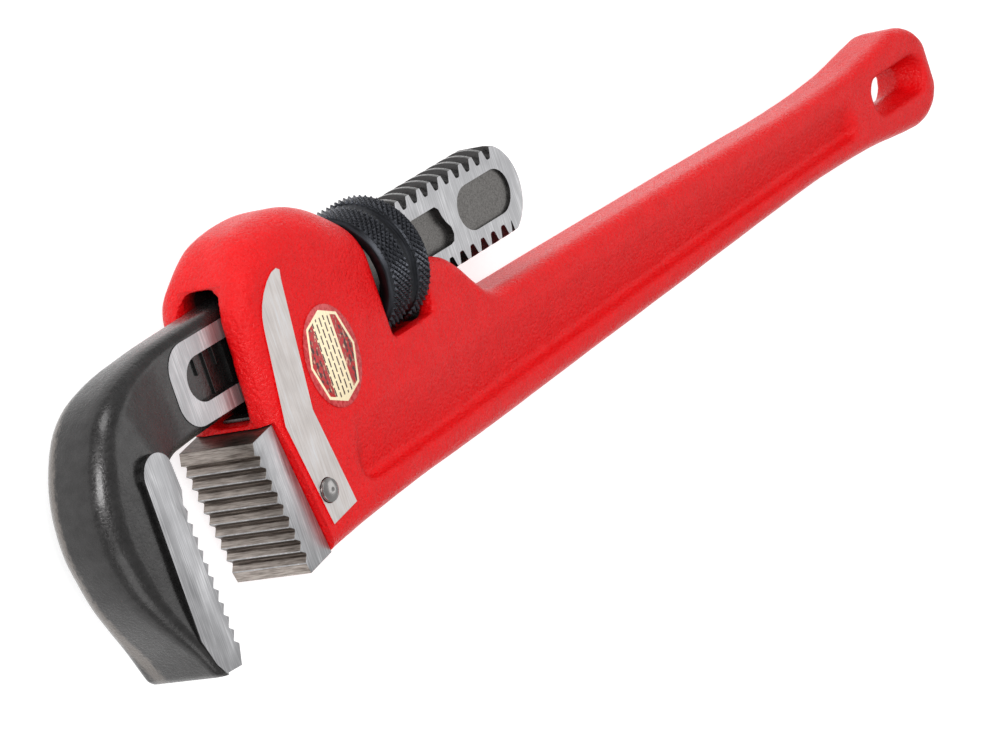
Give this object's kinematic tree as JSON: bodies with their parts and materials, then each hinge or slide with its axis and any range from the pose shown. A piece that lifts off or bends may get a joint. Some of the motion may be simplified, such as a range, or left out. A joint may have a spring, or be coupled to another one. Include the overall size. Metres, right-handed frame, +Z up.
{
  "type": "adjustable pipe wrench",
  "caption": "Straight adjustable pipe wrench: a toothed hook jaw on a threaded shank, moved by a knurled nut in a one-piece housing and I-beam handle.",
  "frame": {"origin": "bottom centre of the whole wrench's box as it lies on its side", "axes": "+X along the handle away from the jaws, +Y across the jaws towards the hump of the housing, +Z up through the thickness, out of the face with the label"},
  "size_m": [0.4172, 0.0944, 0.0355],
  "materials": {
    "red_paint": "red enamel over sand-cast ductile iron, slight orange peel",
    "ground_jaw_steel": "ground faces, dark hardened teeth",
    "bright_steel": "polished",
    "black_oxide_forging": "black satin forging with ground tooth land, neck ring and shank sides",
    "black_oxide_nut": "black oxide, diamond knurled",
    "spring_steel": "tempered, plain",
    "label_film": "printed film, glossy"
  },
  "bodies": {
    "housing": {"housing_handle": "red_paint", "heel_jaw": "ground_jaw_steel", "heel_jaw_pin": "bright_steel", "flat_spring_rivet": "bright_steel", "label": "label_film"},
    "jaw_carrier": {"flat_spring": "spring_steel", "coil_spring": "spring_steel"},
    "nut": {"adjusting_nut": "black_oxide_nut"},
    "hook": {"hook_jaw": "black_oxide_forging"}
  },
  "joints": [
    {"name": "jaw_rock", "type": "hinge", "parent": "housing", "child": "jaw_carrier", "pos_m": [-0.07825, 0.0197, 0.01775], "axis": [0, 0, 1], "range_deg": [0, 1.7], "stiffness_Nm_per_rad": 20, "springref_deg": -2.86, "deforming": ["flat_spring", "coil_spring"]},
    {"name": "nut_spin", "type": "hinge", "parent": "jaw_carrier", "child": "nut", "pos_m": [-0.07825, 0.0197, 0.01775], "axis": [1, 0, 0], "range_deg": [-1805, 2905]},
    {"name": "jaw_slide", "type": "slide", "parent": "jaw_carrier", "child": "hook", "axis": [-1, 0, 0], "range_m": [-0.0254, 0.0409]}
  ],
  "couplings": [
    {"joint": "nut_spin", "follows": "jaw_slide", "rad_per_m": 1236.8}
  ]
}
